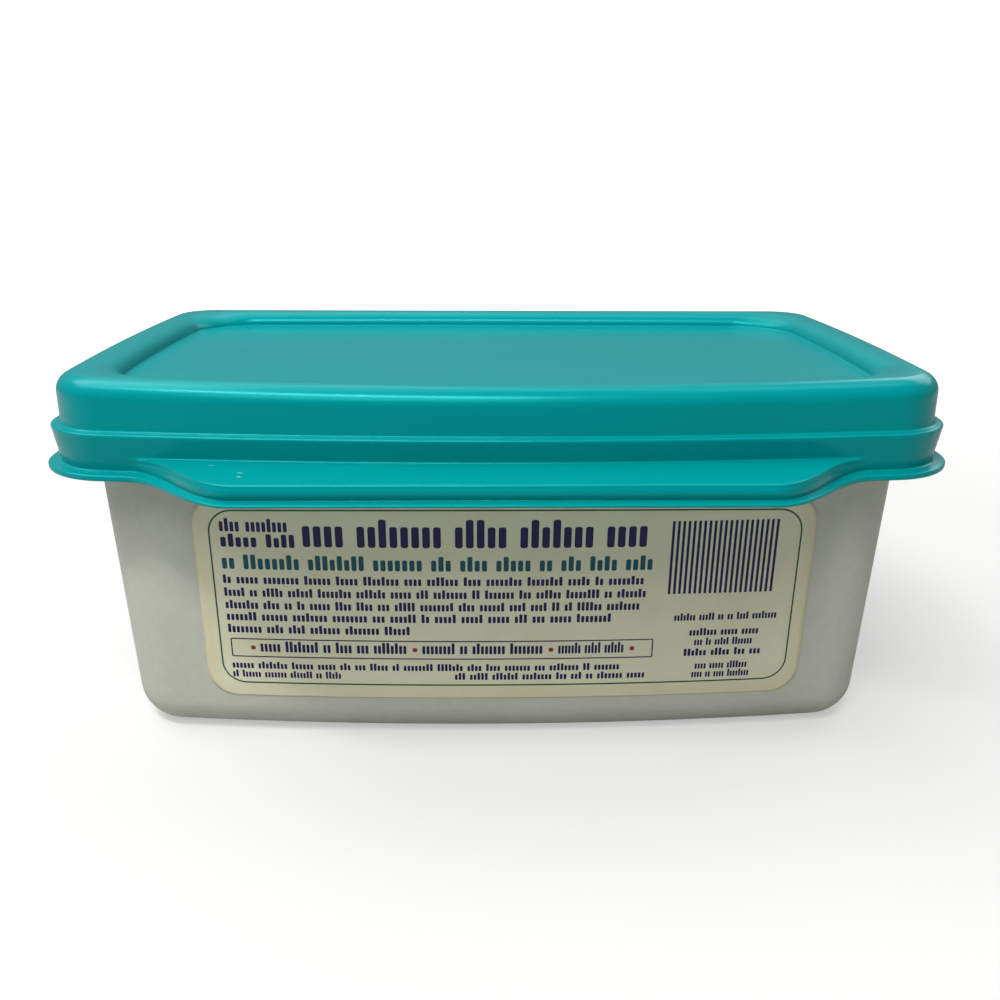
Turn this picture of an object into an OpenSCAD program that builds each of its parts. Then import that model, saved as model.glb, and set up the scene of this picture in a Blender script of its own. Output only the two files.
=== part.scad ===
// Rectangular tub for folded wet wipes, with a press-on lid that has one long grip tab.
// Millimetres, +Z up. The base stands on z = 0, x runs along the tub, and the grip tab
// and the label face -y. The walls, the rim and the lid all follow bowed outlines.

/* [Tub] */
// Outside length of the tub at its mouth
tub_l = 230; // [205:1:260]
// Outside width of the tub at its mouth, at mid length
tub_w = 134.4; // [122:0.2:155]
// Height of the tub, from the foot to the top of the rim
tub_h = 93; // [80:1:110]
// Corner radius of the walls in plan, at the mouth
tub_r = 17.3; // [12:0.1:20]
// How far the long walls bow outward at mid length
tub_bow = 6; // [2:0.5:7]
// How far the short walls bow outward at mid width
end_bow = 2; // [0.5:0.5:4]
// Slope of the walls toward the foot, in degrees
tub_draft = 3; // [1:0.5:4.5]
// Thickness of the walls
tub_wall = 1.1; // [0.8:0.1:1.6]
// Thickness of the floor
floor_t = 1.5; // [1:0.1:2.5]
// Height of the rounding at the foot of the walls
foot_h = 10.4; // [6:0.2:12]
// Width of the rounding at the foot of the walls
foot_w = 9.4; // [6:0.2:12]
// Depth of the shallow recess under the floor
foot_recess = 0.6; // [0.2:0.1:0.8]
// Width of the ring that the tub stands on
foot_ring = 7; // [4:0.5:12]
// Radius of the round gate dimple in the middle of the underside
gate_r = 5; // [3:0.5:8]

/* [Rim] */
// How far the rim reaches out past the wall at the corners
rim_w = 4.7; // [3.5:0.1:7]
// How far the rim's long sides bow outward at mid length
rim_bow = 8; // [6:0.5:10]
// Corner radius of the rim
rim_r = 13; // [10:0.5:18]
// Thickness of the rim and of its lip
rim_t = 1.3; // [1:0.1:1.8]
// Height of the lip that turns down at the rim's edge
lip_h = 4.6; // [3.6:0.2:6]

/* [Lid] */
// Thickness of the lid
lid_t = 1.3; // [1:0.1:1.6]
// Height of the dome, from the ledge to the top
dome_h = 13.7; // [12:0.1:20]
// Width of the ledge between the skirt and the dome
ledge_w = 2.4; // [1.6:0.1:3.5]
// Height of the skirt, from the ledge down to the underside of the flange
skirt_h = 12; // [10.5:0.1:15]
// How far the skirt leans inward from the ledge to the flange
skirt_lean = 1.65; // [0.8:0.05:2.2]
// How far the flange stands out past the widest line of the skirt
flange_out = 1.8; // [1:0.1:3]
// Thickness of the flange at the foot of the skirt
flange_t = 1.6; // [1.2:0.1:2]
// Radius of the rounded edge round the top
top_r = 5.2; // [4:0.1:6.5]
// How far the top dips at mid length
top_dip = 1.3; // [0:0.1:2]

/* [Recess in the lid] */
// Depth of the recess in the top
recess_d = 4.7; // [3:0.1:6]
// Width of the raised border, from the dome's wall to the foot of the recess
border_w = 13.2; // [12:0.1:16]
// Width of the rounded slope from the border down to the recess
slope_w = 6; // [3:0.1:6.5]
// Corner radius of the recess at its foot
recess_r = 17; // [10:0.5:24]

/* [Grip tab] */
// How far the tab's front stands out from the rim of the tub
tab_out = 22.1; // [16:0.1:26]
// Half of the tab's length, to where its sides meet the skirt
tab_half = 97; // [90:0.5:100]
// Length over which the tab's foot swings out to its front
tab_swing = 31.5; // [22:0.5:36]
// How far inside the tab's foot its upper shelf ends
shelf_in = 3; // [2:0.5:8]
// Length over which the shelf's edge swings out to its front
shelf_swing = 29.5; // [20:0.5:32]
// Height of the shelf above the underside of the flange
shelf_h = 5.7; // [5:0.1:7]
// Rounding of the shelf's front edge
shelf_r = 1.3; // [0.6:0.1:1.6]
// How far the flange stands out past the tab's front
tab_flange = 1.1; // [1:0.1:3]
// Thickness of the flange along the tab's front
tab_flange_t = 0.9; // [0.8:0.1:1.6]

/* [Label] */
// Thickness of the label
label_t = 0.15; // [0.1:0.05:0.4]
// Distance from the label's ends to where the wall's corners begin
label_gap = 5.4; // [3:0.1:12]
// Distance of the label's lower edge above the rounding at the foot
label_foot = 2.9; // [1:0.1:6]
// Distance of the label's upper edge below the top of the rim
label_head = 17.8; // [12:0.1:24]
// Corner radius of the label
label_r = 8; // [3:0.5:12]
// How far the label sits to the right of the middle
label_shift = 1.5; // [-2:0.1:2]

/* [Wipes] */
// Thickness of one layer of wet cloth
ply_t = 0.42; // [0.35:0.01:0.6]
// Space between the stack and the flat floor's ends
stack_end = 6; // [3:0.5:10]
// Space between the stack and the flat floor's long sides, at mid length
stack_side = 8; // [6.5:0.5:12]
// Free height between the stack and the rim
headroom = 30; // [22:1:40]

/* [Clearances] */
// Gap all round between the tub's rim and the lid's skirt
skirt_gap = 0.35; // [0.25:0.05:0.6]
// Gap between the top of the rim and the underside of the lid's ledge
seat_gap = 0.2; // [0.1:0.05:0.5]
// Gap between one layer of cloth and the next
ply_gap = 0.03; // [0.02:0.01:0.06]
// Thickness of the glue between the label and the wall
glue_t = 0.06; // [0.04:0.01:0.1]

/* [Hidden] */

// A plan is [half length, half width, corner radius, side bow, end bow]. The half sizes
// are those at the corners, so the bows come on top of them.
lean = tan(tub_draft);
mouth = [tub_l/2 - end_bow, tub_w/2 - tub_bow, tub_r, tub_bow, end_bow];
rim = [mouth[0] + rim_w, mouth[1] + rim_w, rim_r, rim_bow, end_bow];
skirt = widen(rim, skirt_gap + lid_t + skirt_lean);

// Heights
ledge_z = tub_h + seat_gap + lid_t;
flange_z = ledge_z - skirt_h;
top_z = ledge_z + dome_h;
shelf_z = flange_z + shelf_h;
foot_z = flange_z + flange_t;
tip_z = foot_z - tab_flange_t;
tab_y = rim[1] + rim[3] + tab_out;

// The origin is on the ground, under the middle of the box that holds the whole object
centre_y = (tab_y + tab_flange - skirt[1] - skirt[3] - flange_out)/2;
module placed() { translate([0, centre_y, 0]) children(); }

function widen(p, d) = [p[0] + d, p[1] + d, max(p[2] + d, 0.6), p[3], p[4]];
function round_to(p, r) = [p[0], p[1], r, p[3], p[4]];
function mix(p, q, t) = p + (q - p)*t;
function clamp(t) = max(0, min(1, t));

// Points along a straight side, closer together toward its ends, without the last one
function along(n) = [for (i = [0:n - 1]) sin(180*i/n - 90)];

// Bends a point of a plain rounded rectangle outward, most in the middle of each side
function bowed(q, p) = [
    q.x + sign(q.x)*p[4]*(1 - pow(q.y/p[1], 2))*clamp(abs(q.x)/p[0]),
    q.y + sign(q.y)*p[3]*(1 - pow(q.x/p[0], 2))*clamp(abs(q.y)/p[1])
];

// The closed outline of a plan, from the front left corner round by the right. n holds
// the number of steps on the front, on each corner, on each end and on the back.
function outline(p, n) = let (cx = p[0] - p[2], cy = p[1] - p[2]) [
    for (t = along(n[0])) bowed([cx*t, -p[1]], p),
    for (i = [0:n[1] - 1]) let (a = 90*i/n[1] - 90) bowed([cx + p[2]*cos(a), p[2]*sin(a) - cy], p),
    for (t = along(n[2])) bowed([p[0], cy*t], p),
    for (i = [0:n[1] - 1]) let (a = 90*i/n[1]) bowed([cx + p[2]*cos(a), cy + p[2]*sin(a)], p),
    for (t = along(n[3])) bowed([-cx*t, p[1]], p),
    for (i = [0:n[1] - 1]) let (a = 90*i/n[1] + 90) bowed([p[2]*cos(a) - cx, cy + p[2]*sin(a)], p),
    for (t = along(n[2])) bowed([-p[0], -cy*t], p),
    for (i = [0:n[1] - 1]) let (a = 90*i/n[1] + 180) bowed([p[2]*cos(a) - cx, p[2]*sin(a) - cy], p)
];

// Joins rings of equal length into one closed skin, with a point at the middle of the
// first ring and of the last. The rings run over the outside first, then the inside.
module skin(rings) {
    n = len(rings[0]);
    m = len(rings);
    points = [mean(rings[0]), for (r = rings) each r, mean(rings[m - 1])];
    polyhedron(points, [
        for (j = [0:n - 1]) [0, 1 + j, 1 + (j + 1)%n],
        for (i = [0:m - 2], j = [0:n - 1]) let (
            a = 1 + i*n + j, b = 1 + i*n + (j + 1)%n) each [[a, a + n, b], [b, a + n, b + n]],
        for (j = [0:n - 1]) [1 + m*n, 1 + (m - 1)*n + (j + 1)%n, 1 + (m - 1)*n + j]
    ], convexity = 8);
}
function mean(r) = [for (k = [0:2]) [for (q = r) q[k]]*[for (q = r) 1]/len(r)];

// ---- tub -------------------------------------------------------------------------------
tub_n = [14, 6, 5, 14];

// The wall's plan at a height, and the ring of points there, moved in by d
function wall(z) = widen(mouth, -(tub_h - z)*lean);
function tub_ring(p, d, z) = [for (q = outline(widen(p, -d), tub_n)) [q.x, q.y, z]];
function gate_ring(r, z) = [for (q = outline(wall(0), tub_n)) let (u = q/norm(q)*r) [u.x, u.y, z]];

// The quarter ellipse at the foot of a wall: how far in and how high, at an angle
function foot(a, w, h) = [w*(1 - cos(a)), h*(1 - sin(a))];

module tub() {
    inner_w = foot_w - tub_wall;
    inner_h = foot_h - floor_t;
    color([0.80, 0.81, 0.76]) placed() skin([
        gate_ring(gate_r - 1, foot_recess - 0.3),
        gate_ring(gate_r, foot_recess),
        tub_ring(wall(0), foot_w + foot_ring + 0.6, foot_recess),
        tub_ring(wall(0), foot_w + foot_ring, 0),
        for (a = [90:-18:0]) let (f = foot(a, foot_w, foot_h)) tub_ring(wall(f[1]), f[0], f[1]),
        tub_ring(wall(tub_h - lip_h), 0, tub_h - lip_h),
        tub_ring(wall(tub_h - rim_t), 0, tub_h - rim_t),
        tub_ring(rim, rim_t, tub_h - rim_t),
        tub_ring(rim, rim_t, tub_h - lip_h),
        tub_ring(rim, 0, tub_h - lip_h),
        tub_ring(rim, 0, tub_h - 0.7),
        tub_ring(rim, 0.7, tub_h),
        tub_ring(mouth, tub_wall - 0.5, tub_h),
        tub_ring(mouth, tub_wall, tub_h - 0.6),
        for (a = [0:18:90]) let (f = foot(a, inner_w, inner_h))
            tub_ring(wall(floor_t + f[1]), tub_wall + f[0], floor_t + f[1]),
        gate_ring(gate_r, floor_t)
    ]);
}

// ---- label ------------------------------------------------------------------------------
// The label lies on the bowed, sloping front wall. Its rows follow the wall, and each
// row is as long as the rounded corners leave it.
label_z0 = foot_h + label_foot;
label_z1 = tub_h - label_head;
label_half = wall(label_z0)[0] - tub_r - label_gap;

function front_y(x, z) = let (p = wall(z)) -p[1] - p[3]*(1 - pow(x/p[0], 2));
function corner_cut(d) = d >= label_r ? 0 : label_r - sqrt(pow(label_r, 2) - pow(label_r - d, 2));
function label_rows() = let (h = label_z1 - label_z0) [
    for (a = [15:15:90]) label_r*(1 - cos(a)),
    for (i = [1:5]) mix(label_r, h - label_r, i/6),
    for (a = [90:-15:15]) h - label_r*(1 - cos(a))
];

module label() {
    cols = 18;
    rows = label_rows();
    h = label_z1 - label_z0;
    sheet = [for (d = [0, label_t]) [for (v = rows) let (
        half = label_half - corner_cut(min(v, h - v))) [for (i = [0:cols]) let (
            x = label_shift + half*(2*i/cols - 1), z = label_z0 + v)
            [x, front_y(x, z) - glue_t - d, z]]]];
    m = len(rows);
    n = cols + 1;
    points = [for (s = sheet, r = s) each r];
    loop = [for (i = [0:n - 1]) i, for (j = [1:m - 1]) j*n + n - 1,
        for (i = [n - 2:-1:0]) (m - 1)*n + i, for (j = [m - 2:-1:1]) j*n];
    color([0.84, 0.83, 0.70]) placed() polyhedron(points, [
        for (j = [0:m - 2], i = [0:n - 2]) let (a = j*n + i, b = a + m*n) each [
            [a, a + 1, a + n], [a + 1, a + n + 1, a + n], [b, b + n, b + 1], [b + 1, b + n, b + n + 1]],
        for (k = [0:len(loop) - 1]) let (a = loop[k], b = loop[(k + 1)%len(loop)]) each [
            [a, a + m*n, b], [b, a + m*n, b + m*n]]
    ], convexity = 4);
}

// ---- wipes ------------------------------------------------------------------------------
// Each wipe is one sheet folded in half along the tub. The fold of every second one is at
// the back, and each sheet's lower half lies between the two halves of the next one.
ply = ply_t + ply_gap;
flat_l = 2*(wall(floor_t)[0] + end_bow - foot_w - stack_end);
flat_w = 2*(wall(floor_t)[1] + tub_bow - foot_w - stack_side);
wipe_count = floor((tub_h - floor_t - headroom)/(2*ply)) - 1;
stack_top = floor_t + (2*wipe_count + 1)*ply;

// The folded sheet seen from its end, with its upper half at the height zero
module folded_sheet() {
    fold = flat_w/2 - 1.5*ply;
    linear_extrude(flat_l, center = true) polygon([
        [-flat_w/2 + 2*ply, ply_t/2], [fold, ply_t/2],
        for (a = [67.5:-22.5:-67.5]) [fold, -ply] + (ply + ply_t/2)*[cos(a), sin(a)],
        [fold, -2*ply - ply_t/2], [-flat_w/2 + 2*ply, -2*ply - ply_t/2],
        [-flat_w/2 + 2*ply, -2*ply + ply_t/2], [fold, -2*ply + ply_t/2],
        for (a = [-60:30:60]) [fold, -ply] + (ply - ply_t/2)*[cos(a), sin(a)],
        [fold, -ply_t/2], [-flat_w/2 + 2*ply, -ply_t/2]
    ]);
}

// One wipe, counted from the top, where the top one is number 0
module wipe(i) {
    color([0.95, 0.95, 0.93]) placed()
        translate([0, 0, stack_top - ply_t/2 - 2*i*ply + (i%2)*ply])
            mirror([0, i%2, 0]) rotate([90, 0, 90]) folded_sheet();
}

module top_wipe() { wipe(0); }
module wipes() { for (i = [1:wipe_count - 1]) wipe(i); }

// ---- lid --------------------------------------------------------------------------------
// One moulding: a recessed top in a rounded border, a dome wall, a ledge, a skirt that
// leans inward over the tub's rim, and a flange. Along the front the skirt opens into a
// hollow shelf, and the flange thins and runs out round it as the grip tab.
lid_n = [36, 6, 6, 12];

// A ring of the lid: moved in by d from the widest line of the skirt, at a height, with
// the share of the dip that it takes and, where it isn't the plan's own, a corner radius
function lid_ring(d, z, dip = 0, r = undef) = let (
    p = widen(skirt, -d), q = is_undef(r) ? p : round_to(p, r))
    [for (c = outline(q, lid_n)) [c.x, c.y, z - dip*top_dip*(1 - pow(c.x/skirt[0], 2))]];
// The same ring drawn together to a share of its size, for the flat of the top
function drawn(ring, s) = [for (q = ring) [q.x*s, q.y*s,
    q.z - top_dip*(1 - s*s)*pow(q.x/skirt[0], 2)]];

// The skirt at a height, on its outside or d inside it
function skirt_in(z, d = 0) = d + skirt_lean*clamp((ledge_z - 0.6 - z)/(skirt_h - 0.6 - flange_t));

// How far the tab's foot and its shelf have swung out at a place along the front, 0 to 1
function swung(t) = t*t*(3 - 2*t);
function foot_share(x) = swung(clamp((tab_half - abs(x))/tab_swing));
function shelf_share(x) = swung(clamp((tab_half - shelf_in - abs(x))/shelf_swing));

// A ring of the skirt at height z that is pulled out to the tab's line on the front. The
// tab's line is d behind its front, at height tz.
function foot_ring_at(d0, z, d, tz) = [for (q = lid_ring(d0, z)) let (t = q.y < 0 ? foot_share(q.x) : 0)
    [q.x, mix(q.y, d - tab_y, t), mix(q.z, tz, t)]];
function shelf_ring_at(d0, z, d, tz) = [for (q = lid_ring(d0, z)) let (t = q.y < 0 ? shelf_share(q.x) : 0)
    [q.x, mix(q.y, d - tab_y, t), mix(q.z, tz, min(1, 3*t))]];

// The skirt and the tab's flank between two rings, where the flank flares out to its foot
function flank(a, b, v) = [for (i = [0:len(a) - 1])
    [a[i].x, mix(a[i].y, b[i].y, v*v), mix(a[i].z, b[i].z, v)]];

module lid() {
    brow = shelf_ring_at(skirt_in(shelf_z - 1.4), shelf_z - 1.4, 0.4, shelf_z - shelf_r);
    heel = foot_ring_at(skirt_in(foot_z + 0.6), foot_z + 0.6, 0, foot_z + 0.6);
    border = ledge_w + border_w;
    slope_h = recess_d - 0.5;
    crest = border - 0.6 - slope_w;
    under = top_z - recess_d - lid_t;
    band_z = mix(ledge_z, shelf_z, 0.5);
    inner = ledge_w + lid_t;
    color([0.02, 0.50, 0.53]) placed() skin([
        // the top, the recess and the border
        drawn(lid_ring(border + 1, top_z - recess_d, 1, recess_r), 0.5),
        lid_ring(border + 1, top_z - recess_d, 1, recess_r),
        lid_ring(border - 0.3, top_z - recess_d + 0.15, 1, recess_r),
        for (a = [90:-22.5:0])
            lid_ring(crest + slope_w*sin(a), top_z - slope_h*(1 - cos(a)), 1, mix(recess_r - 4, recess_r, a/90)),
        for (a = [0:18:90])
            lid_ring(ledge_w + top_r*(1 - sin(a)), top_z - top_r*(1 - cos(a)), 1),
        // the dome's wall, the ledge and the rounded widest line
        lid_ring(ledge_w, ledge_z + 0.8, 0.2),
        lid_ring(ledge_w - 0.6, ledge_z),
        lid_ring(0.6, ledge_z),
        lid_ring(0, ledge_z - 0.6),
        // the skirt, the shelf and the front of the tab
        lid_ring(skirt_in(band_z), band_z),
        lid_ring(skirt_in(shelf_z), shelf_z),
        shelf_ring_at(skirt_in(shelf_z - 0.5), shelf_z - 0.5, shelf_r + 0.4, shelf_z),
        shelf_ring_at(skirt_in(shelf_z - 0.9), shelf_z - 0.9, 0.3*shelf_r + 0.4, shelf_z - 0.3*shelf_r),
        brow,
        flank(brow, heel, 0.4),
        flank(brow, heel, 0.75),
        heel,
        // the flange
        foot_ring_at(skirt_in(foot_z) - 0.6, foot_z, -0.5, foot_z),
        foot_ring_at(0.4 - flange_out, foot_z - 0.15, 0.3 - tab_flange, foot_z - 0.1),
        foot_ring_at(-flange_out, foot_z - 0.55, -tab_flange, foot_z - 0.35),
        foot_ring_at(-flange_out, flange_z + 0.3, -tab_flange, tip_z + 0.2),
        foot_ring_at(0.4 - flange_out, flange_z, 0.3 - tab_flange, tip_z),
        // the inside of the tab and of the skirt
        foot_ring_at(skirt_in(foot_z, lid_t), flange_z, lid_t, tip_z),
        foot_ring_at(skirt_in(foot_z, lid_t), foot_z - 0.4, lid_t + 0.1, foot_z - 0.4),
        shelf_ring_at(skirt_in(foot_z + 0.7, lid_t), foot_z + 0.7, lid_t + 0.6, shelf_z - lid_t - 0.8),
        shelf_ring_at(skirt_in(foot_z + 1.2, lid_t), foot_z + 1.2, lid_t + 1.6, shelf_z - lid_t),
        lid_ring(skirt_in(shelf_z - lid_t, lid_t), shelf_z - lid_t),
        lid_ring(lid_t, ledge_z - lid_t),
        // the underside of the ledge, of the dome and of the top
        lid_ring(inner, ledge_z - lid_t),
        for (a = [90:-30:0])
            lid_ring(inner + (top_r - lid_t)*(1 - sin(a)), top_z - lid_t - (top_r - lid_t)*(1 - cos(a)), 1),
        for (a = [0:30:90])
            lid_ring(crest + (slope_w - lid_t)*sin(a),
                top_z - lid_t - (slope_h - lid_t)*(1 - cos(a)), 1, mix(recess_r - 4, recess_r, a/90)),
        lid_ring(border - lid_t, under + 0.4, 1, recess_r),
        lid_ring(border - 0.6, under, 1, recess_r),
        drawn(lid_ring(border + 1, under, 1, recess_r), 0.5)
    ]);
}

tub();
label();
wipes();
top_wipe();
lid();
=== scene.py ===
import math
import random
import bpy
import numpy as np
from mathutils import Matrix, Vector


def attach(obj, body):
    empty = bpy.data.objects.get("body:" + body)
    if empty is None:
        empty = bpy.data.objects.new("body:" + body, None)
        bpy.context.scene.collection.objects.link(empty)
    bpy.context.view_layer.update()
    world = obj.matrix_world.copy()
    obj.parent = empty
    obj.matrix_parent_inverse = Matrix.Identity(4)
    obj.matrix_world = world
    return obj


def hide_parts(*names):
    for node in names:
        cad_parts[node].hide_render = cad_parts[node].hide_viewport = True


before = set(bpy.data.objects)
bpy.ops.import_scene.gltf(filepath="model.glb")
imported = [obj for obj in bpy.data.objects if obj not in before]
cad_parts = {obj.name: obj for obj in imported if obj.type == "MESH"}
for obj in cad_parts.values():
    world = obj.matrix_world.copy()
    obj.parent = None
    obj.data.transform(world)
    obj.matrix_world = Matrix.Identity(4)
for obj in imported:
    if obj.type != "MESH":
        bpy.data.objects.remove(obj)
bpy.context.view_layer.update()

# ---- camera ------------------------------------------------------------------------------
# It stands in front of the tub, a little left of its middle and 160 mm above the ground,
# and looks down at it by 18.5 degrees. Its frame is square.
eye = Vector((-0.00660, -0.31201, 0.16019))
dip, turn, roll = (math.radians(a) for a in (18.48, 1.38, 0.33))
ahead = Vector((math.sin(turn)*math.cos(dip), math.cos(turn)*math.cos(dip), -math.sin(dip)))
level = Vector((math.cos(turn), -math.sin(turn), 0))
upright = level.cross(ahead)
right = level*math.cos(roll) + upright*math.sin(roll)
above = upright*math.cos(roll) - level*math.sin(roll)

camera = bpy.data.objects.new("camera", bpy.data.cameras.new("camera"))
bpy.context.scene.collection.objects.link(camera)
camera.data.lens, camera.data.sensor_width = 36, 36
camera.data.clip_start = 0.01
camera.matrix_world = Matrix((
    (right.x, above.x, -ahead.x, eye.x),
    (right.y, above.y, -ahead.y, eye.y),
    (right.z, above.z, -ahead.z, eye.z),
    (0, 0, 0, 1)))
bpy.context.scene.camera = camera

# ---- tub ---------------------------------------------------------------------------------
# One thin moulding of natural polypropylene with a frosted skin. Its four walls are bowed
# and taper down to a rounded foot, and its rim turns outward and down under the lid.
tub_h, wall_t, floor_t = 93.0, 1.1, 1.5
foot_h, foot_w = 10.4, 9.4
rim_t, rim_h = 1.3, 4.6
rim_r, lip_r = 0.7, 0.5  # round the rim's outer and the mouth's inner edge
lean = math.tan(math.radians(3))
# A plan is half length, half width, corner radius, bow of the long sides, bow of the ends
mouth = (113.0, 61.2, 17.3, 6.0, 2.0)
rim = (117.7, 65.9, 13.0, 8.0, 2.0)
set_back = 9.05  # from the middle of the tub to the middle of the whole with its grip tab


def widen(plan, by, corner=None):
    """The plan moved outward all round, with its corner radius, or another one."""
    radius = max(plan[2] + by, 0.6) if corner is None else corner
    return plan[0] + by, plan[1] + by, radius, plan[3], plan[4]


def outline(plan, steps=(150, 18, 26, 90)):
    """The closed outline of a plan, from the front left corner round by the right. The steps
    are those of the front, of each corner, of each end and of the back."""
    length, width, radius, side_bow, end_bow = plan
    cx, cy = length - radius, width - radius

    def side(n):
        return np.sin(np.pi*np.arange(n)/n - np.pi/2)

    def corner(sx, sy, start):
        a = np.pi/2*np.arange(steps[1])/steps[1] + start
        return sx*cx + radius*np.cos(a), sy*cy + radius*np.sin(a)

    front, end, back = side(steps[0]), side(steps[2]), side(steps[3])
    parts = [(cx*front, 0*front - width), corner(1, -1, -np.pi/2),
             (0*end + length, cy*end), corner(1, 1, 0),
             (-cx*back, 0*back + width), corner(-1, 1, np.pi/2),
             (0*end - length, -cy*end), corner(-1, -1, np.pi)]
    x, y = np.concatenate([np.stack(p) for p in parts], 1)
    return np.stack([
        x + np.sign(x)*end_bow*(1 - (y/width)**2)*np.clip(abs(x)/length, 0, 1),
        y + np.sign(y)*side_bow*(1 - (x/length)**2)*np.clip(abs(y)/width, 0, 1)], 1)


def ring(plan, z):
    """The outline of a plan as points at a height, which may differ from point to point."""
    line = outline(plan)
    return np.column_stack([line, np.broadcast_to(z, len(line))])


def between(a, b, shares):
    """Rings that lie between two others, at these shares of the way."""
    return [a + (b - a)*s for s in shares]


def arc(first, last, steps):
    """Angles from the first to the last, in radians."""
    return np.radians(np.linspace(first, last, steps + 1))


def make(name, points, faces, finish, smooth=True):
    """A piece from faces and from points in millimetres, measured from the tub's middle."""
    mesh = bpy.data.meshes.new(name)
    mesh.from_pydata((np.asarray(points) + (0, set_back, 0))*0.001, [], faces)
    mesh.polygons.foreach_set("use_smooth", [smooth]*len(mesh.polygons))
    mesh.materials.append(finish)
    piece = bpy.data.objects.new(name, mesh)
    bpy.context.scene.collection.objects.link(piece)
    return piece


def skin(name, rings, finish):
    """Joins rings into one closed moulding, and closes the first and the last ring with a
    fan round their middle. The rings run over the outside first, then over the inside."""
    n, m = len(rings[0]), len(rings)
    points = np.vstack([rings[0].mean(0), *rings, rings[-1].mean(0)])
    faces = [(0, 1 + j, 1 + (j + 1) % n) for j in range(n)]
    for i in range(m - 1):
        for j in range(n):
            a, b = 1 + i*n + j, 1 + i*n + (j + 1) % n
            faces.append((a, a + n, b + n, b))
    last = 1 + (m - 1)*n
    faces += [(1 + m*n, last + (j + 1) % n, last + j) for j in range(n)]
    return make(name, points, faces, finish)


class Tone:
    """A socket of a finish's nodes. Sums on it add Math nodes, and node adds any other."""

    def __init__(self, tree, socket=None):
        self.tree, self.socket = tree, socket

    def node(self, kind, settings=None, sockets=None, out=0):
        made = self.tree.nodes.new("ShaderNode" + kind)
        for setting, value in (settings or {}).items():
            setattr(made, setting, value)
        for name, value in (sockets or {}).items():
            found = made.inputs[name] if isinstance(name, int) else next(
                s for s in made.inputs if s.identifier == name or s.name == name)
            if isinstance(value, Tone):
                self.tree.links.new(value.socket, found)
            else:
                found.default_value = value
        return Tone(self.tree, made.outputs[out])

    def maths(self, operation, *values):
        return self.node("Math", {"operation": operation}, dict(enumerate(values)))

    def __add__(self, other): return self.maths("ADD", self, other)
    def __radd__(self, other): return self.maths("ADD", other, self)
    def __sub__(self, other): return self.maths("SUBTRACT", self, other)
    def __rsub__(self, other): return self.maths("SUBTRACT", other, self)
    def __mul__(self, other): return self.maths("MULTIPLY", self, other)
    def __rmul__(self, other): return self.maths("MULTIPLY", other, self)
    def __truediv__(self, other): return self.maths("DIVIDE", self, other)
    def __pow__(self, other): return self.maths("POWER", self, other)

    def rise(self, low, high):
        """0 below low, 1 above high, and smooth between."""
        return self.node("MapRange", {"interpolation_type": "SMOOTHSTEP"},
                         {"Value": self, "From Min": low, "From Max": high})

    def blend(self, first, second):
        """One colour where this is 0, the other where it is 1."""
        return self.node("Mix", {"data_type": "RGBA"}, {
            "Factor_Float": self, "A_Color": first, "B_Color": second}, out=2)

    def grain(self, scale, detail=3, rough=0.5, stretch=(1, 1, 1)):
        """Cloudy grain of so many lumps to a metre, from about 0 to 1."""
        place = self.node("VectorMath", {"operation": "MULTIPLY"}, {0: self, 1: stretch})
        return self.node("TexNoise", {}, {
            "Vector": place, "Scale": scale, "Detail": detail, "Roughness": rough})

    def split(self):
        """The three parts of a place or colour."""
        return [self.node("SeparateXYZ", {}, {"Vector": self}, out=i) for i in range(3)]


def finish(name, **fixed):
    """A new finish, the place on the piece that its grain follows, and a way to give it
    a tone that varies."""
    made = bpy.data.materials.new(name)
    made.use_nodes = True
    shader = made.node_tree.nodes["Principled BSDF"]
    for socket, value in fixed.items():
        shader.inputs[socket.replace("_", " ")].default_value = value
    place = Tone(made.node_tree).node("TexCoord", out=3)

    def give(socket, tone):
        made.node_tree.links.new(tone.socket, shader.inputs[socket])

    return made, place, give


def bump(tone, height, depth):
    """A normal from a height, which stands depth metres high where it is 1."""
    return tone.node("Bump", {}, {"Strength": 1.0, "Distance": depth, "Height": height})


frosted, place, give = finish("frosted_polypropylene", Subsurface_Weight=0.35,
                              Subsurface_Scale=0.004, Subsurface_Radius=(1.0, 0.9, 0.8),
                              IOR=1.49, Specular_IOR_Level=0.4)
cloud = place.grain(26, 2)
mottle = place.grain(420, 3, 0.6)
frost = place.grain(3600, 2, 0.6)
milky = (cloud*0.6 + mottle*0.4).rise(0.3, 0.7)
give("Base Color", milky.blend((0.63, 0.645, 0.545, 1), (0.70, 0.71, 0.61, 1)))
give("Roughness", 0.42 + 0.12*mottle + 0.06*frost)
give("Normal", bump(place, frost*0.7 + mottle*0.5, 0.00006))


def wall(z):
    """The plan of the tub's wall at a height."""
    return widen(mouth, -(tub_h - z)*lean)


def tub_ring(plan, inward, z):
    return ring(widen(plan, -inward), z)


def wall_ring(inward, z):
    return tub_ring(wall(z), inward, z)


def sole_ring(inward, z):
    return tub_ring(wall(0), inward, z)


def rim_ring(inward, z):
    return tub_ring(rim, inward, z)


def spot(radius, z):
    """A round ring at the middle of the floor, with as many points as the outline."""
    line = outline(wall(0))
    line = line/np.linalg.norm(line, axis=1)[:, None]*radius
    return np.column_stack([line, np.full(len(line), z)])


def foot(inward, width, height, base, angles):
    """The rounding where the wall turns into the floor."""
    return [wall_ring(inward + width*(1 - math.cos(a)), base + height*(1 - math.sin(a)))
            for a in angles]


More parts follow.
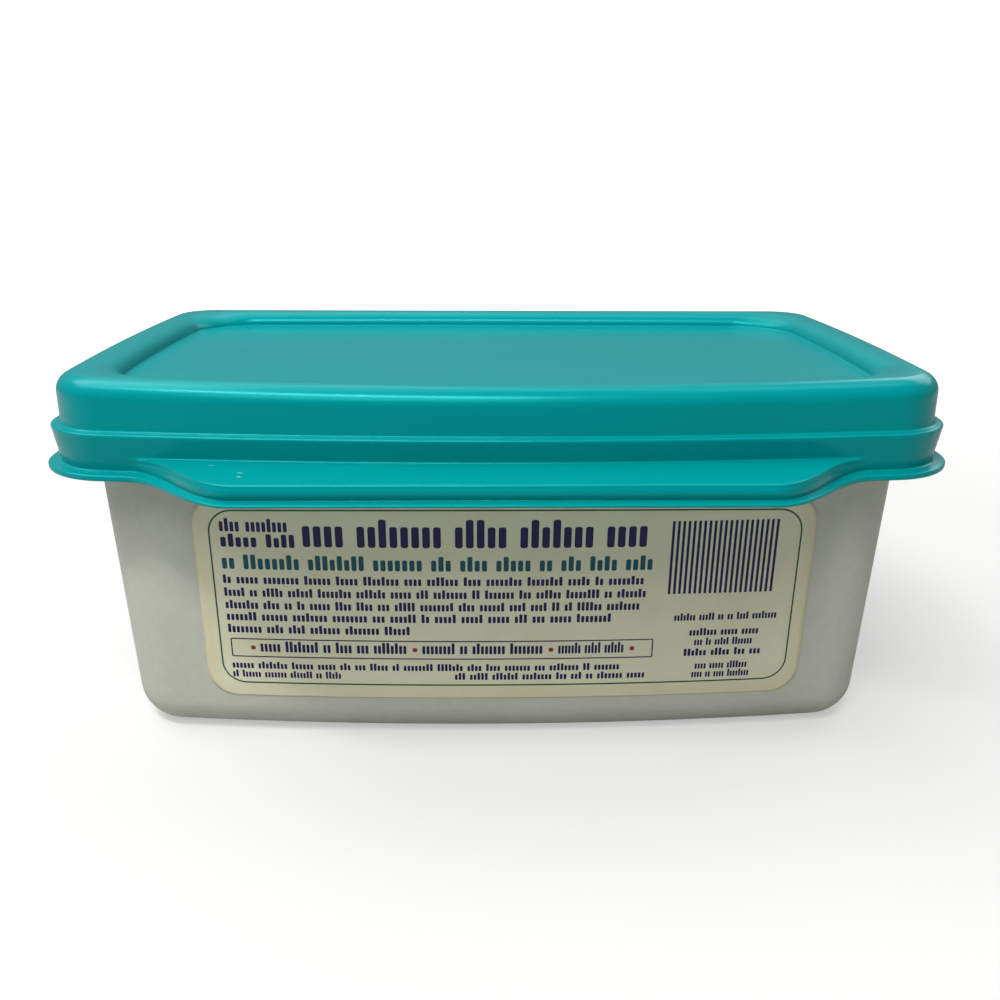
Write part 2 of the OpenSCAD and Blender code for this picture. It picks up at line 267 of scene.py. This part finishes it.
recess, dimple = 0.6, 0.3  # heights of the shallow recess under the floor and of its dimple
sole = foot_w + 7  # the inner edge of the ring that the tub stands on
under_rim, rim_foot = tub_h - rim_t, tub_h - rim_h
tub_rings = [
    # the dimple, the recess, the standing ring and the foot
    spot(1.2, dimple), spot(3.6, dimple), spot(4.2, 0.38), spot(4.9, 0.56), spot(5.3, recess),
    *between(spot(5.3, recess), sole_ring(sole + 1.4, recess), (0.35, 0.7)),
    sole_ring(sole + 1.4, recess), sole_ring(sole + 0.9, 0.54),
    sole_ring(sole + 0.4, 0.1), sole_ring(sole, 0),
    *foot(0, foot_w, foot_h, 0, arc(90, 0, 22)),
    # the wall, and the rim out, down and up again
    *[wall_ring(0, h) for h in np.linspace(foot_h + 2, rim_foot, 26)],
    wall_ring(0, under_rim - 0.5), wall_ring(-0.15, under_rim - 0.1), wall_ring(-0.5, under_rim),
    rim_ring(rim_t + 0.3, under_rim), rim_ring(rim_t, under_rim - 0.3),
    rim_ring(rim_t, rim_foot + 0.2), rim_ring(rim_t - 0.2, rim_foot),
    rim_ring(0.25, rim_foot), rim_ring(0, rim_foot + 0.25),
    *[rim_ring(rim_r*(1 - math.sin(a)), tub_h - rim_r*(1 - math.cos(a)))
      for a in arc(90, 0, 6)][::-1],
    # over the mouth and down the inside
    *between(rim_ring(rim_r, tub_h), tub_ring(mouth, wall_t - lip_r, tub_h), (0.1, 0.5, 0.9)),
    *[tub_ring(mouth, wall_t - lip_r*(1 - math.sin(a)), tub_h - lip_r*(1 - math.cos(a)))
      for a in arc(0, 90, 5)],
    *[wall_ring(wall_t, h) for h in np.linspace(tub_h - 3, foot_h + 2, 12)],
    *foot(wall_t, foot_w - wall_t, foot_h - floor_t, floor_t, arc(0, 90, 12)),
    *between(wall_ring(foot_w, floor_t), spot(5, floor_t), (0.02, 0.3, 0.6, 0.9)),
    spot(3, floor_t),
]
tub = skin("tub_shell", tub_rings, frosted)
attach(tub, "tub")
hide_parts("tub")

# ---- wipes -------------------------------------------------------------------------------
# 67 damp sheets of nonwoven cloth, 190 x 179 mm flat, each folded in half along the tub.
# The folds lie at the back and at the front in turn, and each sheet's lower half lies
# between the two halves of the next one. The stack has settled a little unevenly.
ply, cloth_t = 0.45, 0.42
stack_l, stack_w = 189.6, 90.0
wipe_count = 67
stack_top = floor_t + (2*wipe_count + 1)*ply

cloth, place, give = finish("damp_nonwoven", Sheen_Weight=0.25, Sheen_Roughness=0.5, IOR=1.4,
                            Subsurface_Weight=0.2, Subsurface_Scale=0.003,
                            Subsurface_Radius=(1.0, 1.0, 0.9))
fibres = place.grain(1500, 4, 0.7, (0.35, 1, 1))
strands = place.grain(2600, 3, 0.7, (1, 0.3, 1))
damp = place.grain(34, 2).rise(0.42, 0.62)
pores = place.node("TexVoronoi", {"feature": "F1"}, {"Vector": place, "Scale": 620.0})
give("Base Color", (0.55*damp + 0.25*fibres).blend(
    (0.88, 0.885, 0.875, 1), (0.74, 0.76, 0.75, 1)))
give("Roughness", 0.85 - 0.25*damp)
give("Normal", bump(place, fibres*0.5 + strands*0.4 + pores.rise(0.05, 0.4)*0.35, 0.00022))


def settled(x, y, z):
    """How far a point of the stack has sunk or risen. It grows toward the top."""
    share = np.clip((z - floor_t)/(stack_top - floor_t), 0, 1)
    wave = (np.sin(x/23 + 0.6*np.sin(y/17)) + 0.7*np.sin(y/13 + x/41 + 1.3)
            + 0.5*np.sin(x/11 - y/19 + 2.1))
    ends = (abs(x)/(stack_l/2))**6
    return share**1.4*(0.42*wave - 1.5*ends) - 0.6*share


shuffle = random.Random(7)
for i in range(wipe_count):
    turned = i % 2  # every second fold lies at the front
    across, turns, along = (44, 10, 97) if i < 4 else (12, 5, 25)  # steps, finer near the top
    fold_y, free_y = stack_w/2 - 1.5*ply, -stack_w/2 + 2*ply
    upper = [(y, 0.0, 0.0, 1.0) for y in np.linspace(free_y, fold_y, across + 1)[:-1]]
    bend = [(fold_y + ply*math.cos(a), ply*math.sin(a) - ply, math.cos(a), math.sin(a))
            for a in arc(90, -90, turns)]
    lower = [(y, -2*ply, 0.0, -1.0) for y in np.linspace(fold_y, free_y, across + 1)[1:]]
    line = np.array(upper + bend + lower)
    edge = 0.5*cloth_t
    outer = line[:, :2] + edge*line[:, 2:]
    inner = (line[:, :2] - edge*line[:, 2:])[::-1]
    loop = np.vstack([outer, inner])
    wander = [shuffle.uniform(-1, 1) for _ in range(6)]
    height = stack_top - cloth_t/2 - 2*i*ply + turned*ply
    rows = []
    for s in np.linspace(-1, 1, along):
        row_y, row_z = loop[:, 0].copy(), loop[:, 1]
        trim = 0.35 + 0.3*math.sin(5*s + 3*wander[0]) + 0.3*wander[1]
        row_y += max(trim, 0)*np.clip((free_y + 4 - row_y)/4, 0, 1)
        if turned:
            row_y = -row_y
        row_x = np.full(len(loop), s*stack_l/2*(0.994 + 0.004*wander[2]) + 0.35*wander[3])
        row_x += 0.25*s*np.sin(row_y/9 + 3*wander[4])
        row_z = row_z + height
        rows.append(np.column_stack([row_x, row_y, row_z + settled(row_x, row_y, row_z)]))
    n, m = len(loop), len(rows)
    faces = [(a, a + n, b + n, b) if turned else (a, b, b + n, a + n)
             for k in range(m - 1) for j in range(n)
             for a, b in [(k*n + j, k*n + (j + 1) % n)]]
    half = n//2
    for k in (0, (m - 1)*n):
        for j in range(half - 1):
            quad = (k + j, k + n - 1 - j, k + n - 2 - j, k + j + 1)
            faces.append(quad[::-1] if (k == 0) == turned else quad)
    wipe = make(f"wipe_{i + 1:02d}", np.vstack(rows), faces, cloth)
    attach(wipe, "tub")
    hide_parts("top_wipe" if i == 0 else "wipes")

# ---- label -------------------------------------------------------------------------------
# Cream coated paper with rounded corners, glued to the front wall. It has yellowed, most
# at its edges.
label_z0, label_z1 = foot_h + 2.9, tub_h - 17.8
label_margin = 5.4  # kept free at each end, besides the corner's radius
label_half = wall(label_z0)[0] - mouth[2] - label_margin
label_r, label_t, glue_t, label_shift = 8.0, 0.15, 0.06, 1.5

paper, place, give = finish("cream_paper", IOR=1.47, Specular_IOR_Level=0.35)
x, y, z = place.split()
to_end = label_half*0.001 - place.maths("ABSOLUTE", x - label_shift*0.001)
to_side = place.maths("MINIMUM", z - label_z0*0.001, label_z1*0.001 - z)
to_edge = place.maths("MINIMUM", to_end, to_side)
pulp = place.grain(900, 4, 0.65)
stain = place.grain(55, 3)
aged = (1 - to_edge.rise(0.0005, 0.0075))*0.55 + 0.35*stain.rise(0.4, 0.75)
give("Base Color", aged.blend((0.90, 0.90, 0.67, 1), (0.80, 0.755, 0.485, 1)))
give("Roughness", 0.48 + 0.1*pulp)
give("Normal", bump(place, pulp, 0.00003))


def on_wall(x, z, lift):
    """The point of the front wall at x and z, lifted off it by a little."""
    length, width, _, bow, _ = wall(z)
    return x, -width - bow*(1 - (x/length)**2) - lift, z


def plate(columns, lift, thick):
    """The points and faces of a thin plate on the wall, from columns of points, each column
    from below upward."""
    m, n = len(columns), len(columns[0])
    points = [on_wall(x, z, h) for h in (lift, lift + thick) for c in columns for x, z in c]
    below = m*n
    faces = []
    for i in range(m - 1):
        for j in range(n - 1):
            a = i*n + j
            faces.append((a, a + 1, a + n + 1, a + n))
            faces.append(tuple(below + q for q in (a, a + n, a + n + 1, a + 1)))
    round_it = ([i*n for i in range(m)] + [(m - 1)*n + j for j in range(1, n)]
                + [i*n + n - 1 for i in range(m - 2, -1, -1)] + list(range(n - 2, 0, -1)))
    for k, a in enumerate(round_it):
        b = round_it[(k + 1) % len(round_it)]
        faces.append((a, b, b + below, a + below))
    return points, faces


def corner_cut(d):
    """How much shorter the label is at a distance from its upper or lower edge."""
    return 0 if d >= label_r else label_r - math.sqrt(label_r**2 - (label_r - d)**2)


span = label_z1 - label_z0
rows = np.concatenate([label_r*(1 - np.cos(arc(6, 90, 14))),
                       np.linspace(label_r, span - label_r, 20)[1:-1],
                       span - label_r*(1 - np.cos(arc(90, 6, 14)))])
halves = [label_half - corner_cut(min(v, span - v)) for v in rows]
columns = [[(label_shift + h*t, label_z0 + v) for v, h in zip(rows, halves)]
           for t in np.linspace(-1, 1, 121)]
label = make("label_paper", *plate(columns, glue_t, label_t), paper)
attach(label, "tub")
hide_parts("label")

# ---- print on the label ------------------------------------------------------------------
# A thin ruled border and plain dashes and stripes stand where the label is printed, in
# four inks. Nothing on it can be read.


def mixed_ink(name, dark, light):
    """A printing ink, a little uneven."""
    made, place, give = finish(name, IOR=1.47, Specular_IOR_Level=0.4)
    speck = place.grain(2400, 3, 0.7)
    give("Base Color", speck.rise(0.35, 0.75).blend(dark, light))
    give("Roughness", 0.4 + 0.15*speck)
    return made


navy = mixed_ink("navy_ink", (0.006, 0.003, 0.085, 1), (0.014, 0.009, 0.12, 1))
teal = mixed_ink("teal_ink", (0.0, 0.095, 0.135, 1), (0.004, 0.125, 0.165, 1))
green = mixed_ink("green_ink", (0.008, 0.085, 0.04, 1), (0.016, 0.11, 0.055, 1))
red = mixed_ink("red_ink", (0.30, 0.035, 0.02, 1), (0.36, 0.05, 0.03, 1))
inks = (navy, teal, green, red)
ink_lift, ink_t = glue_t + label_t - 0.012, 0.036  # it sinks in a little, so that no gap shows
printed = {ink.name: ([], []) for ink in inks}


def lay(ink, points, faces):
    """Adds a printed shape to those of one ink."""
    all_points, all_faces = printed[ink.name]
    start = len(all_points)
    all_points += points
    all_faces += [tuple(start + q for q in f) for f in faces]


def dash(ink, x0, x1, z, height):
    """A block with rounded corners, centred on z."""
    r = 0.3*min(height, x1 - x0)
    ends = [(r*(1 - math.cos(a)), height/2 - r + r*math.sin(a)) for a in arc(0, 90, 3)]
    inner = np.linspace(x0 + r, x1 - r, max(2, int((x1 - x0)/3)))[1:-1]
    marks = [(x0 + d, h) for d, h in ends] + [(x, height/2) for x in inner] \
        + [(x1 - d, h) for d, h in ends[::-1]]
    columns = [[(x, z - h), (x, z + h)] for x, h in marks]
    lay(ink, *plate(columns, ink_lift, ink_t))


def rule(ink, line, width):
    """A thin closed line along points on the wall."""
    line = np.array(line)
    along = np.roll(line, -1, 0) - np.roll(line, 1, 0)
    along /= np.linalg.norm(along, axis=1)[:, None]
    side = np.column_stack([-along[:, 1], along[:, 0]])*width/2
    n, top = len(line), ink_lift + ink_t
    edges = ((line - side, ink_lift), (line + side, ink_lift), (line + side, top),
             (line - side, top))
    points = [on_wall(x, z, h) for edge, h in edges for x, z in edge]
    lay(ink, points, [(a, b, b + d, a + d) for i in range(n) for k in range(4)
                      for a, b, d in [(k*n + i, k*n + (i + 1) % n, ((k + 1) % 4 - k)*n)]])


def frame_line(x0, x1, z0, z1, r):
    """A rounded frame as points close enough to follow the wall."""
    points = []
    for cx, cz, start in ((x1 - r, z0 + r, -90), (x1 - r, z1 - r, 0),
                          (x0 + r, z1 - r, 90), (x0 + r, z0 + r, 180)):
        points += [(cx + r*math.cos(a), cz + r*math.sin(a)) for a in arc(start, start + 90, 8)]
    dense = []
    for (xa, za), (xb, zb) in zip(points, points[1:] + points[:1]):
        steps = max(1, int(math.hypot(xb - xa, zb - za)/3))
        dense += [(xa + (xb - xa)*k/steps, za + (zb - za)*k/steps) for k in range(steps)]
    return dense


def strokes(ink, x0, x1, z, pitch, height):
    """A row of upright strokes from x0 to x1, in groups of uneven length and centred on z."""
    pick = random.Random(int(40*z + 7*x0))
    groups = []
    while sum(groups) + len(groups) - 1 < (x1 - x0)/pitch:
        groups.append(pick.randint(2, 8))
    step = (x1 - x0)/(sum(groups) + len(groups) - 1)
    x = x0
    for group in groups:
        for k in range(group):
            tall = height*pick.choice((1, 1, 1, 1.35))
            dash(ink, x, x + 0.7*step, z + (tall - height)/2, tall)
            x += step
        x += step


# the border, whose upper edge is bowed, then the print from the top down
border_bow, border_end, mid_z = 0.95, 83.4, 44
rule(green, [(x, z + border_bow*(1 - (x/border_end)**2) if z > mid_z else z)
             for x, z in frame_line(-80.0, border_end, 17.6, 71.1, 6.5)], 0.45)
strokes(navy, -77.0, -58.0, 66.6, 2.1, 2.9)
strokes(navy, -77.0, -56.0, 62.0, 2.1, 2.9)
strokes(navy, -54.3, 40.9, 64.0, 3.1, 6.2)
strokes(teal, -77.2, 42.6, 55.5, 2.1, 3.3)
for z, x1 in ((50.4, 40.2), (46.4, 41.0), (42.5, 39.4), (38.8, 31.5), (34.9, -25.4)):
    strokes(navy, -77.4, x1, z, 1.3, 2.0)
rule(navy, frame_line(-76.9, 43.6, 26.2, 31.9, 0.3), 0.36)
box_z, dot = 29.1, 1.3
for x0, x1 in ((-68.6, -26.5), (-22.3, 12.3), (16.5, 35.5)):
    strokes(navy, x0, x1, box_z, 1.45, 2.6)
for x in (-70.7, -24.4, 14.4, 37.7):
    dash(red, x - dot/2, x + dot/2, box_z, dot)
for x0, x1, z in ((-77.2, 34.6, 23.1), (-77.3, -45.7, 20.2), (-13.1, 42.1, 20.2)):
    strokes(navy, x0, x1, z, 1.1, 1.7)
# the block of stripes at the right, and the short rows centred below it
stripe_w, stripe_pitch, block_x = 0.75, 1.46, 64.3
for x0 in np.arange(46.9, 77, stripe_pitch):
    stripe = [[(x, z) for z in np.linspace(46.2, 68.4, 8)] for x in (x0, x0 + stripe_w)]
    lay(navy, *plate(stripe, ink_lift, ink_t))
for half, z in ((15.0, 38.5), (10.2, 33.6), (8.6, 30.4), (11.4, 27.0), (7.8, 22.6), (8.6, 19.8)):
    strokes(navy, block_x - half, block_x + half, z, 1.2, 1.75)
for ink in inks:
    piece = make("print_" + ink.name.split("_")[0], *printed[ink.name], ink, smooth=False)
    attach(piece, "tub")

# ---- lid ---------------------------------------------------------------------------------
# One moulding of teal polyethylene with a satin skin, pressed on over the tub's rim. Its
# top is recessed in a rounded border, its skirt leans in under the ledge, and along the
# front the skirt and flange open into one long hollow grip tab.
lid_t, dome_h, ledge_w, skirt_h, skirt_lean = 1.3, 13.7, 2.4, 12.0, 1.65
side_gap, seat_gap = 0.35, 0.2  # round the tub's rim and over it
edge_r, hollow_r = 0.6, 0.8  # of the ledge's edge and of the hollow round the dome's foot
flange_out, flange_t, flange_r = 1.8, 1.6, 0.55
top_r, top_dip, recess_d, border_w, slope_w, recess_r = 5.2, 1.3, 4.7, 13.2, 6.0, 17.0
tab_out, tab_half, tab_swing, tab_flange, tab_flange_t = 22.1, 97.0, 31.5, 1.1, 0.9
shelf_in, shelf_swing, shelf_h, shelf_r = 0.8, 31.2, 5.7, 0.6
skirt = widen(rim, side_gap + lid_t + skirt_lean)
ledge_z = tub_h + seat_gap + lid_t
flange_z = ledge_z - skirt_h
top_z = ledge_z + dome_h
shelf_z = flange_z + shelf_h
foot_z = flange_z + flange_t
tip_z = foot_z - tab_flange_t
tab_y = rim[1] + rim[3] + tab_out
border = ledge_w + border_w
root_r = 0.5  # where the slope meets the flat of the recess
crest = border - root_r - 0.1 - slope_w
slope_h = recess_d - root_r

teal_lid, place, give = finish("teal_polyethylene", IOR=1.51, Specular_IOR_Level=0.4,
                                Specular_Tint=(0.1, 1, 1, 1))
x, y, z = place.split()
flow = place.grain(30, 3, 0.5, (1, 2.2, 1))
pebble = place.grain(3200, 2, 0.6)
rub = place.grain(240, 4, 0.65, (0.4, 1.4, 1)).rise(0.52, 0.72)
satin = (0.7*flow + 0.3*pebble).blend((0.0, 0.290, 0.301, 1), (0.0, 0.324, 0.336, 1))
# three faint scuffs on the grip tab, by place, length and strength
on_shelf = z.rise(0.0875, 0.0878)*(1 - z.rise(0.0885, 0.0888))
scuff, scuff_w = 0.0, 0.32
for cx, cy, long, strength in (
        (-64.8, -75.8, 0.8, 0.5), (-64.3, -79.3, 0.7, 0.55), (-73.6, -69.0, 0.9, 0.2)):
    ragged = ((x*1000 - cx)/long)**2 + ((y*1000 - cy)/scuff_w)**2 + 1.2*rub
    scuff = scuff + strength*(1 - ragged.rise(0.5, 1.3))*on_shelf
give("Base Color", scuff.blend(satin, (0.42, 0.85, 0.86, 1)))
give("Roughness", 0.20 + 0.05*pebble + 0.02*rub)
give("Normal", bump(place, pebble + flow*0.15, 0.000015))


def lid_ring(inward, z, share=0.0, corner=None):
    """A ring of the lid, with the share of the top's dip that it takes."""
    line = outline(widen(skirt, -inward, corner))
    sunk = z - share*top_dip*(1 - (line[:, 0]/skirt[0])**2)
    return np.column_stack([line, sunk])


def drawn(line, s):
    """A ring of the flat top drawn together to a share of its size."""
    sunk = top_dip*(1 - s*s)*(line[:, 0]/skirt[0])**2
    return np.column_stack([line[:, 0]*s, line[:, 1]*s, line[:, 2] - sunk])


def skirt_in(z, inside=0.0):
    """How far the leaning skirt lies inward at a height."""
    down = (ledge_z - edge_r - z)/(skirt_h - edge_r - flange_t)
    return inside + skirt_lean*min(max(down, 0), 1)


def pulled(inward, z, behind, tab_z, share, rise):
    """A ring of the skirt, pulled out along the front to a line of the tab."""
    line = ring(widen(skirt, -inward), z)
    t = np.where(line[:, 1] < 0, share(line[:, 0]), 0)
    line[:, 1] += (behind - tab_y - line[:, 1])*t
    line[:, 2] += (tab_z - z)*rise(t)
    return line


def swung(x, half, length):
    """How far the tab has swung out at x, from 0 where its side meets the skirt to 1."""
    t = np.clip((half - abs(x))/length, 0, 1)
    return t*t*(3 - 2*t)


def foot_ring(inward, z, behind, tab_z):
    """A ring that follows the tab's outer curve, as its front and the flange do."""
    return pulled(inward, z, behind, tab_z, lambda x: swung(x, tab_half, tab_swing), lambda t: t)


def shelf_ring(inward, z, behind, tab_z):
    """A ring that follows the curve of the tab's shelf."""
    return pulled(inward, z, behind, tab_z, lambda x: swung(x, tab_half - shelf_in, shelf_swing),
                  lambda t: np.minimum(1, 3*t))


def flank(a, b, shares):
    """Rings of the skirt and of the tab's front, which is a little fuller at mid height."""
    bulge = 2.4*np.where(a[:, 1] < 0, swung(a[:, 0], tab_half, tab_swing), 0)
    rings = between(a, b, shares)
    for line, s in zip(rings, shares):
        line[:, 1] -= s*(1 - s)*bulge
    return rings


def slope(inset, angles):
    """The rounded slope from the border down into the recess, the lid's outside or a skin
    that lies inside it by the inset."""
    return [lid_ring(crest + (slope_w - inset)*math.sin(a),
                     top_z - inset - (slope_h - inset)*(1 - math.cos(a)), 1,
                     recess_r - 4*(1 - a/quarter)) for a in angles]


quarter = math.radians(90)
recess_z = top_z - recess_d
under_z = recess_z - lid_t
under_ledge = ledge_z - lid_t
inner, inner_r = ledge_w + lid_t, top_r - lid_t
floor_ring = lid_ring(border + 1, recess_z, 1, recess_r)
root = lid_ring(skirt_in(shelf_z), shelf_z)
# The tab's front runs from the shelf's rounded lip, nose to brow, down to the heel
front_in, heel_in, flange_fillet = 0.4, 0.75, 0.4
lip_z, nose_z, brow_z, heel_z = shelf_z + 0.3, shelf_z - 0.5, shelf_z - 1.4, foot_z + 0.8
nose = shelf_ring(skirt_in(nose_z), nose_z, shelf_r + front_in, lip_z)
brow = shelf_ring(skirt_in(brow_z), brow_z, front_in, lip_z - shelf_r)
heel = foot_ring(skirt_in(heel_z), heel_z, heel_in, foot_z + 0.65)
inside_root = lid_ring(skirt_in(shelf_z - lid_t, lid_t), shelf_z - lid_t)
inside_nose = shelf_ring(skirt_in(foot_z + 1.2, lid_t), foot_z + 1.2, lid_t + 1.6, shelf_z - lid_t)
lid_rings = [
    # the flat of the recess and the small rounding at its foot
    *[drawn(floor_ring, s) for s in (0.12, 0.3, 0.48, 0.66, 0.82, 0.93, 0.985)],
    floor_ring,
    *[lid_ring(border - 0.1 - root_r*math.cos(a), recess_z + root_r*(1 - math.sin(a)), 1,
               recess_r) for a in arc(90, 15, 5)],
    # the slope, the border and the rounded edge
    *slope(0, arc(90, 0, 18)),
    lid_ring((crest + ledge_w + top_r)/2, top_z, 1),
    *[lid_ring(ledge_w + top_r*(1 - math.sin(a)), top_z - top_r*(1 - math.cos(a)), 1)
      for a in arc(0, 90, 20)],
    # the dome's wall, the hollow round its foot, the ledge's edge and the skirt
    *between(lid_ring(ledge_w, top_z - top_r, 1), lid_ring(ledge_w, ledge_z + hollow_r, 0.2),
             (0.2, 0.4, 0.6, 0.8)),
    *[lid_ring(ledge_w - hollow_r*(1 - math.cos(a)), ledge_z + hollow_r*(1 - math.sin(a)),
               0.2*(1 - math.sin(a))) for a in arc(0, 90, 5)],
    *[lid_ring(edge_r*(1 - math.sin(a)), ledge_z - edge_r*(1 - math.cos(a)))
      for a in arc(0, 90, 7)],
    *[lid_ring(skirt_in(h), h) for h in np.linspace(ledge_z - 1.4, shelf_z + 0.5, 6)],
    # the tab's shelf, its lip and the tab's front
    root,
    *between(root, nose, (0.04, 0.12, 0.25, 0.4, 0.55, 0.7, 0.85, 0.95)),
    nose,
    *[shelf_ring(skirt_in(h), h, front_in + shelf_r*(1 - math.sin(a)),
                 lip_z - shelf_r*(1 - math.cos(a)))
      for a in arc(12, 78, 6) for h in [nose_z + (brow_z - nose_z)*a/quarter]],
    brow,
    *flank(brow, heel, (0.12, 0.25, 0.38, 0.5, 0.62, 0.74, 0.86)),
    heel,
    # the flange, out round its rim and back in underneath
    *[foot_ring(skirt_in(foot_z) - hollow_r*(1 - math.cos(a)),
                foot_z + hollow_r*(1 - math.sin(a)),
                heel_in - flange_fillet*(1 - math.cos(a)), foot_z + 0.3 + 0.35*(1 - math.sin(a)))
      for a in arc(15, 90, 5)],
    *[foot_ring(flange_r*(1 - math.sin(a)) - flange_out, foot_z - flange_r*(1 - math.cos(a)),
                0.5*(1 - math.sin(a)) - tab_flange, foot_z - 0.1 - 0.4*(1 - math.cos(a)))
      for a in arc(0, 90, 6)],
    *[foot_ring(0.4*(1 - math.cos(a)) - flange_out, flange_z + 0.4*(1 - math.sin(a)),
                0.35*(1 - math.cos(a)) - tab_flange, tip_z + 0.35*(1 - math.sin(a)))
      for a in arc(0, 90, 4)],
    foot_ring(skirt_in(foot_z, lid_t) - 0.3, flange_z, lid_t - 0.3, tip_z),
    foot_ring(skirt_in(foot_z, lid_t), flange_z + 0.3, lid_t, tip_z + 0.2),
    foot_ring(skirt_in(foot_z, lid_t), foot_z - 0.4, lid_t + 0.1, foot_z - 0.4),
    shelf_ring(skirt_in(foot_z + 0.7, lid_t), foot_z + 0.7, lid_t + 0.6, shelf_z - lid_t - 0.8),
    inside_nose,
    *between(inside_nose, inside_root, (0.15, 0.3, 0.5, 0.7, 0.85)),
    inside_root,
    # up the inside of the skirt, and under the ledge, the dome and the top
    lid_ring(lid_t + skirt_in(shelf_z)*0.5, (shelf_z + under_ledge)/2),
    lid_ring(lid_t, under_ledge - 0.3), lid_ring(lid_t + 0.3, under_ledge),
    lid_ring(inner - 0.3, under_ledge), lid_ring(inner, under_ledge + 0.3, 0.1),
    *[lid_ring(inner + inner_r*(1 - math.sin(a)), top_z - lid_t - inner_r*(1 - math.cos(a)), 1)
      for a in arc(90, 0, 10)],
    *slope(lid_t, arc(0, 90, 10)),
    lid_ring(border - lid_t, under_z + 0.4, 1, recess_r),
    lid_ring(border - 0.6, under_z, 1, recess_r),
    *[drawn(lid_ring(border + 1, under_z, 1, recess_r), s) for s in (1, 0.93, 0.7, 0.4, 0.12)],
]
lid = skin("lid_shell", lid_rings, teal_lid)
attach(lid, "lid")
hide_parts("lid")

# ---- floor and light ---------------------------------------------------------------------
# A plain floor runs out to a white surround. The key soft box, long and narrow, hangs high
# in front, a little to the left, and draws the bright line along the dome. A softer one
# below it reaches under the grip tab. Broad ones fill from the left and from behind.
room = 0.08  # how bright the room is, as light and as seen in gloss
world = bpy.data.worlds.new("surround")
bpy.context.scene.world = world
world.use_nodes = True
tree = world.node_tree
tree.nodes.clear()
sky = Tone(tree)


def background_share(tone):
    """1 for what the camera sees, also through something, and a share of it for gloss."""
    seen, through, mirrored = (tone.node("LightPath", out=f"Is {kind} Ray")
                               for kind in ("Camera", "Transmission", "Glossy"))
    return tone.maths("MAXIMUM", tone.maths("MAXIMUM", seen, through), room*mirrored)


white = sky.node("Background", {}, {"Color": (1, 1, 1, 1), "Strength": 1.0})
dim = sky.node("Background", {}, {"Color": (1, 1, 1, 1), "Strength": room})
mixed = sky.node("MixShader", {}, {0: background_share(sky), 1: dim, 2: white})
out = tree.nodes.new("ShaderNodeOutputWorld")
tree.links.new(mixed.socket, out.inputs["Surface"])

ground, place, give = finish("pale_floor", Roughness=0.9, Specular_IOR_Level=0.1,
                             Emission_Strength=1.0)
give("Base Color", place.grain(8, 2).blend((0.44, 0.44, 0.43, 1), (0.46, 0.46, 0.45, 1)))
x, y, z = place.split()
far_off = ((x*x + y*y)**0.5).rise(0.2, 0.9)
give("Emission Color", (background_share(place)*(0.45 + 0.55*far_off)).blend(
    (0, 0, 0, 1), (1, 1, 1, 1)))
ground_mesh = bpy.data.meshes.new("floor")
far = 6
ground_mesh.from_pydata([(-far, -far, 0), (far, -far, 0), (far, far, 0), (-far, far, 0)], [],
                        [(0, 1, 2, 3)])
ground_mesh.materials.append(ground)
floor = bpy.data.objects.new("floor", ground_mesh)
bpy.context.scene.collection.objects.link(floor)


def soft_box(name, bearing, height, size, power, away=1.2):
    """A soft box aimed at the tub. The bearing is 0 at the camera's side and 90 at the right."""
    lamp = bpy.data.lights.new(name, "AREA")
    lamp.shape, lamp.size, lamp.size_y, lamp.energy = "RECTANGLE", *size, power
    a, e = math.radians(bearing), math.radians(height)
    back = Vector((math.sin(a)*math.cos(e), -math.cos(a)*math.cos(e), math.sin(e)))
    hung = bpy.data.objects.new(name, lamp)
    hung.location = Vector((0, 0, 0.08)) + back*away
    hung.rotation_euler = (-back).to_track_quat("-Z", "Y").to_euler()
    bpy.context.scene.collection.objects.link(hung)


soft_box("key_box", -25, 60, (0.75, 0.09), 8.6)
soft_box("front_box", -14, 45, (0.6, 0.4), 3.4)
soft_box("left_box", -95, 54, (0.8, 0.7), 5.4)
soft_box("back_left_box", -140, 66, (1.2, 1.0), 3.8)
soft_box("back_box", 175, 42, (1.6, 0.9), 0.9)
soft_box("back_right_box", 130, 30, (0.8, 0.5), 2.0)
soft_box("right_high_box", 100, 66, (0.4, 0.4), 0.8)

bpy.context.scene.view_settings.view_transform = "Standard"
